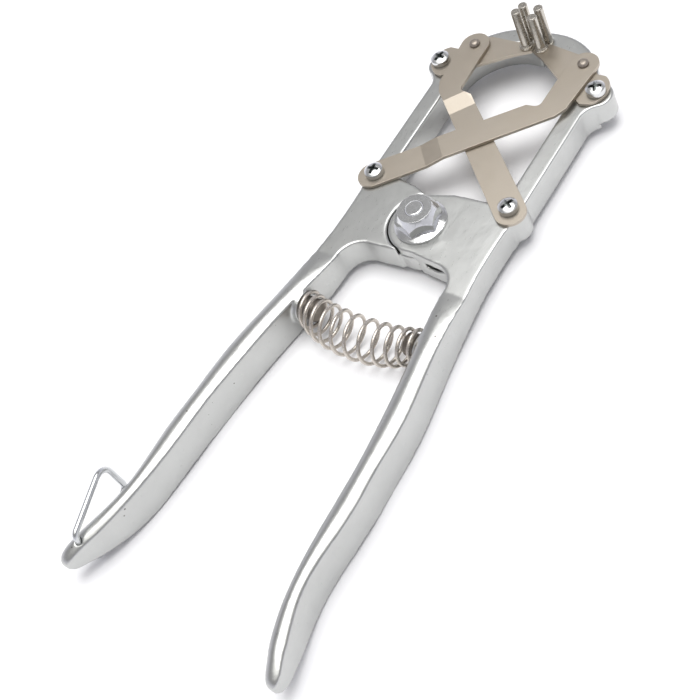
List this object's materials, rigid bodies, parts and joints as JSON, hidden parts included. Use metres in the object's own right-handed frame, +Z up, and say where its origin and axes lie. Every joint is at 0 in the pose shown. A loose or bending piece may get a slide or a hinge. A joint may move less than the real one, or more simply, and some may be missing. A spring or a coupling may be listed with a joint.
{
  "type": "rubber ring expander pliers",
  "caption": "Sprung hand pliers whose linked jaw plates spread upright prongs apart to stretch a rubber ring, with a wire clip to hold the handles shut.",
  "frame": {"origin": "on the main pivot's axis, level with the underside of the bolt's head and of the grips, which the tool lies on", "axes": "+Y from the pivot to the prong head, +X to the right seen from above, +Z up along the prongs and the pivot bolt"},
  "size_m": [0.0894, 0.2239, 0.029],
  "materials": {
    "cast_alloy": "satin tumbled casting",
    "nickel_sheet": "nickel plated, satin",
    "plated_hardware": "bright zinc plate",
    "rivet_steel": "plain steel",
    "polished_prong": "polished nickel plate",
    "spring_wire": "drawn wire, nickel plated",
    "clip_wire": "bright zinc plated wire"
  },
  "bodies": {
    "left_side": {"left_casting": "cast_alloy", "pivot_bolt": "plated_hardware", "pivot_nut": "plated_hardware", "left_jaw_screw": "plated_hardware", "left_lever_screw": "plated_hardware", "back_left_prong": "polished_prong", "left_spring_peg": "rivet_steel", "main_spring": "spring_wire"},
    "right_side": {"right_casting": "cast_alloy", "right_jaw_screw": "plated_hardware", "right_lever_screw": "plated_hardware", "back_right_prong": "polished_prong", "right_spring_peg": "rivet_steel"},
    "left_jaw": {"left_jaw_plate": "nickel_sheet", "left_jaw_rivet": "rivet_steel", "front_left_prong": "polished_prong"},
    "right_jaw": {"right_jaw_plate": "nickel_sheet", "right_jaw_rivet": "rivet_steel", "front_right_prong": "polished_prong"},
    "left_link": {"left_lever": "nickel_sheet"},
    "right_link": {"right_lever": "nickel_sheet"},
    "clip": {"wire_clip": "clip_wire"}
  },
  "joints": [
    {"name": "handle_squeeze", "type": "hinge", "parent": "left_side", "child": "right_side", "pos_m": [0, 0, 0.006], "axis": [0, 0, -1], "range_deg": [0, 25], "stiffness_Nm_per_rad": 1.5, "springref_deg": -17.19, "deforming": ["main_spring"]},
    {"name": "left_jaw_swing", "type": "hinge", "parent": "left_side", "child": "left_jaw", "pos_m": [-0.0292, 0.0609, 0.0128], "axis": [0, 0, -1], "range_deg": [0, 56]},
    {"name": "right_jaw_swing", "type": "hinge", "parent": "right_side", "child": "right_jaw", "pos_m": [0.0292, 0.0609, 0.0128], "axis": [0, 0, 1], "range_deg": [0, 56]},
    {"name": "left_lever_swing", "type": "hinge", "parent": "right_side", "child": "left_link", "pos_m": [0.0253, 0.012, 0.0128], "axis": [0, 0, 1], "range_deg": [0, 25]},
    {"name": "right_lever_swing", "type": "hinge", "parent": "left_side", "child": "right_link", "pos_m": [-0.0253, 0.012, 0.0128], "axis": [0, 0, -1], "range_deg": [0, 25]},
    {"name": "clip_swing", "type": "hinge", "parent": "left_side", "child": "clip", "pos_m": [-0.039, -0.134, 0.008], "axis": [0, 0, 1], "range_deg": [-10, 246]}
  ],
  "couplings": [
    {"joint": "left_jaw_swing", "follows": "handle_squeeze", "ratio": 2.215},
    {"joint": "right_jaw_swing", "follows": "handle_squeeze", "ratio": 2.215},
    {"joint": "left_lever_swing", "follows": "handle_squeeze", "ratio": 0.956},
    {"joint": "right_lever_swing", "follows": "handle_squeeze", "ratio": 0.956}
  ]
}
